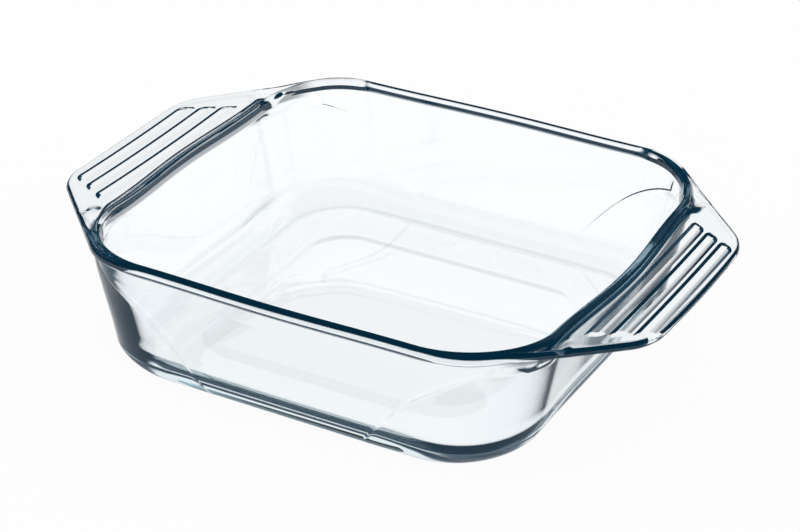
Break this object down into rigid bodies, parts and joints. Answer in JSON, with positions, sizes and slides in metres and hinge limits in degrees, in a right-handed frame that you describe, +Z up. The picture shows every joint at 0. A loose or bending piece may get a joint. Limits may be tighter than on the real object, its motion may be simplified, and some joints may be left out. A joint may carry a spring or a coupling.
{
  "type": "glass roasting dish",
  "caption": "Rectangular pressed-glass roasting dish with a drafted basin, a rolled rim bead, swept corner creases and a flat grip ear at each end.",
  "frame": {"origin": "centre of the dish on the plane it stands on", "axes": "+X along the dish from the left ear to the right ear, +Y across it, +Z up out of the basin"},
  "size_m": [0.35, 0.253, 0.075],
  "materials": {
    "glass": "polished"
  },
  "bodies": {
    "root": {"base": "glass", "side_wall": "glass", "rim_bead": "glass", "left_handle": "glass", "right_handle": "glass"}
  },
  "joints": []
}
